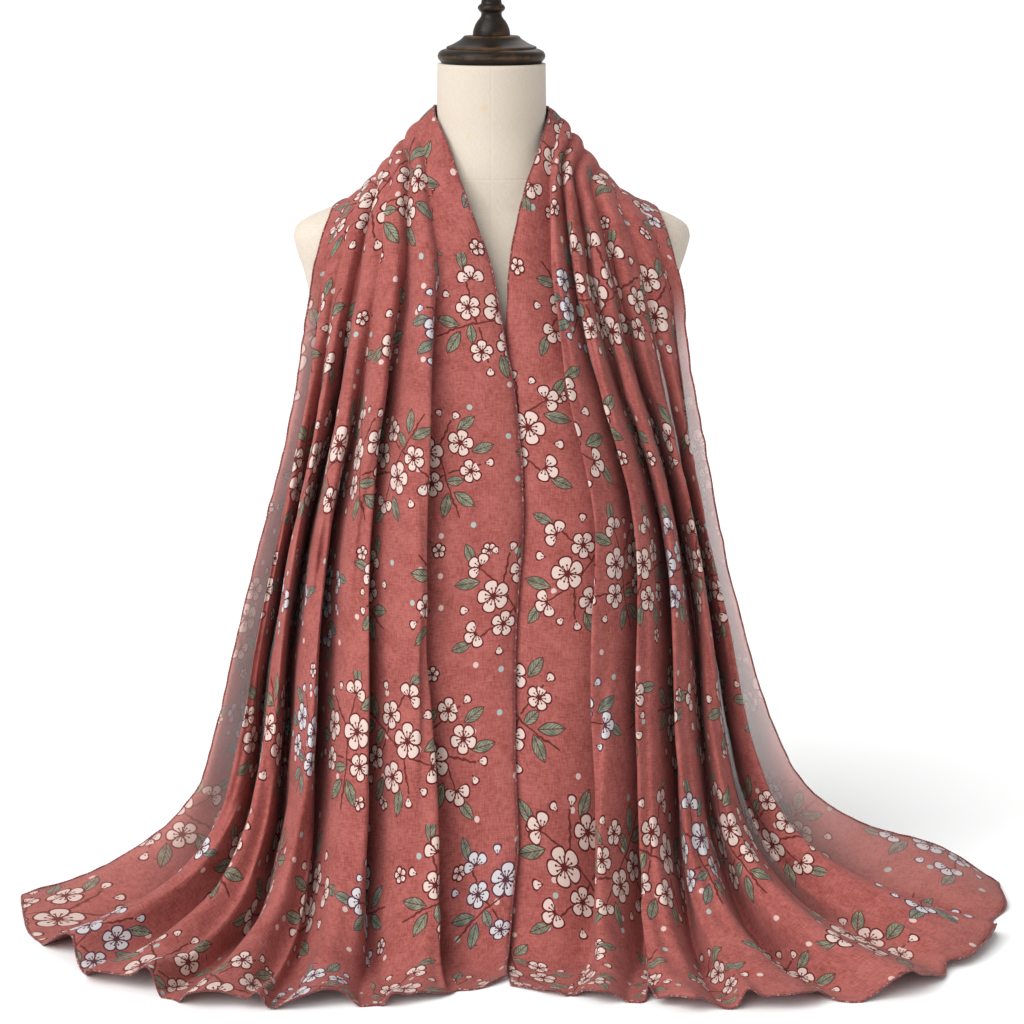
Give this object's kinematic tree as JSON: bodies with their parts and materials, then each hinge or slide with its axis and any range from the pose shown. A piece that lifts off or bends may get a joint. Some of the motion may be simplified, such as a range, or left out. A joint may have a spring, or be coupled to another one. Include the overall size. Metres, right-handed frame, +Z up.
{
  "type": "viscose scarf draped on a limbless dress form",
  "caption": "Long printed viscose scarf worn round the neck, its gathered front ends falling side by side to the surface and fanning out, on a limbless dress form.",
  "frame": {"origin": "middle of the foot's flat underside, on the surface that the form and the scarf's ends rest on", "axes": "+Z up along the form's axis, the front of the form and scarf faces -Y, +X is picture right"},
  "size_m": [0.9447, 0.4347, 0.876],
  "materials": {
    "scarf_left_front_voile": "matte, sheer printed viscose voile",
    "scarf_neck_voile": "matte, sheer printed viscose voile",
    "scarf_right_front_voile": "matte, sheer printed viscose voile",
    "cream_linen": "matte plain-weave linen",
    "dark_wood_cap": "satin, worn on its edges",
    "dark_wood_finial": "satin",
    "dark_wood_foot": "satin"
  },
  "bodies": {
    "root": {"scarf_left_front": "scarf_left_front_voile", "scarf_neck": "scarf_neck_voile", "scarf_right_front": "scarf_right_front_voile", "form_torso": "cream_linen", "neck_cap": "dark_wood_cap", "finial": "dark_wood_finial", "wooden_foot": "dark_wood_foot"}
  },
  "joints": []
}
